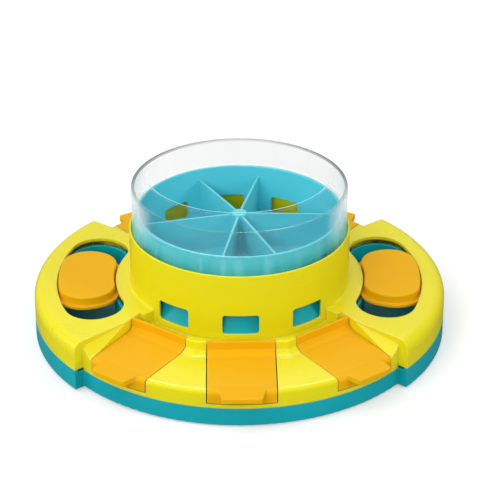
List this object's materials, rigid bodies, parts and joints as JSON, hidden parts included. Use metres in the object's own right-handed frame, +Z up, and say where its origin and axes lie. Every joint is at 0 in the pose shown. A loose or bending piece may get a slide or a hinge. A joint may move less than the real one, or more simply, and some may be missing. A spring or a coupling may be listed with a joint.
{
  "type": "dog puzzle feeder toy",
  "caption": "Round treat puzzle for dogs: a tray with hinged flaps and sliding covers round a turret, a turning food drum and a clear cup that lifts off.",
  "frame": {"origin": "on the turret's axis, on the surface that the feet stand on", "axes": "+Z up along the turret's axis; the front flaps face -Y and the two wings with the sliders lie along -X and +X"},
  "size_m": [0.28, 0.2832, 0.107],
  "materials": {
    "tray_teal": "semi-gloss",
    "cover_yellow": "semi-gloss",
    "flap_orange": "semi-gloss",
    "drum_teal": "semi-gloss",
    "spindle_plastic": "matte",
    "clear_plastic": "clear, glossy",
    "screw_steel": "zinc plated",
    "foot_rubber": "matte"
  },
  "bodies": {
    "feeder": {"base_tray": "tray_teal", "top_cover": "cover_yellow", "drum_spindle": "spindle_plastic", "cover_screw_1": "screw_steel", "cover_screw_2": "screw_steel", "cover_screw_3": "screw_steel", "cover_screw_4": "screw_steel", "cover_screw_5": "screw_steel", "cover_screw_6": "screw_steel", "cover_screw_7": "screw_steel", "cover_screw_8": "screw_steel", "rubber_foot_1": "foot_rubber", "rubber_foot_2": "foot_rubber", "rubber_foot_3": "foot_rubber", "rubber_foot_4": "foot_rubber", "rubber_foot_5": "foot_rubber", "rubber_foot_6": "foot_rubber"},
    "drum": {"food_drum": "drum_teal", "hub_cap": "drum_teal"},
    "cup": {"clear_cup": "clear_plastic"},
    "flap_1_body": {"flap_1": "flap_orange"},
    "flap_2_body": {"flap_2": "flap_orange"},
    "flap_3_body": {"flap_3": "flap_orange"},
    "flap_4_body": {"flap_4": "flap_orange"},
    "flap_5_body": {"flap_5": "flap_orange"},
    "flap_6_body": {"flap_6": "flap_orange"},
    "slider_right_body": {"slider_right": "flap_orange"},
    "slider_left_body": {"slider_left": "flap_orange"}
  },
  "joints": [
    {"name": "drum_turn", "type": "hinge", "parent": "feeder", "child": "drum", "pos_m": [0, 0, 0.0545], "axis": [0, 0, 1], "continuous": true},
    {"name": "cup_lift", "type": "slide", "parent": "feeder", "child": "cup", "axis": [0, 0, 1], "range_m": [0, 0.06]},
    {"name": "flap_1_hinge", "type": "hinge", "parent": "feeder", "child": "flap_1_body", "pos_m": [-0.05236, -0.06898, 0.032], "axis": [-0.7965, 0.6046, 0], "range_deg": [0, 100]},
    {"name": "flap_2_hinge", "type": "hinge", "parent": "feeder", "child": "flap_2_body", "pos_m": [0, -0.0866, 0.032], "axis": [-1, 0, 0], "range_deg": [0, 100]},
    {"name": "flap_3_hinge", "type": "hinge", "parent": "feeder", "child": "flap_3_body", "pos_m": [0.05236, -0.06898, 0.032], "axis": [-0.7965, -0.6046, 0], "range_deg": [0, 100]},
    {"name": "flap_4_hinge", "type": "hinge", "parent": "feeder", "child": "flap_4_body", "pos_m": [0.04666, 0.07296, 0.032], "axis": [0.8425, -0.5388, 0], "range_deg": [0, 100]},
    {"name": "flap_5_hinge", "type": "hinge", "parent": "feeder", "child": "flap_5_body", "pos_m": [0, 0.0866, 0.032], "axis": [1, 0, 0], "range_deg": [0, 100]},
    {"name": "flap_6_hinge", "type": "hinge", "parent": "feeder", "child": "flap_6_body", "pos_m": [-0.04666, 0.07296, 0.032], "axis": [0.8425, 0.5388, 0], "range_deg": [0, 100]},
    {"name": "slider_right_travel", "type": "hinge", "parent": "feeder", "child": "slider_right_body", "pos_m": [0, 0, 0.033], "axis": [0, 0, 1], "range_deg": [-12, 12]},
    {"name": "slider_left_travel", "type": "hinge", "parent": "feeder", "child": "slider_left_body", "pos_m": [0, 0, 0.033], "axis": [0, 0, 1], "range_deg": [-12, 12]}
  ]
}
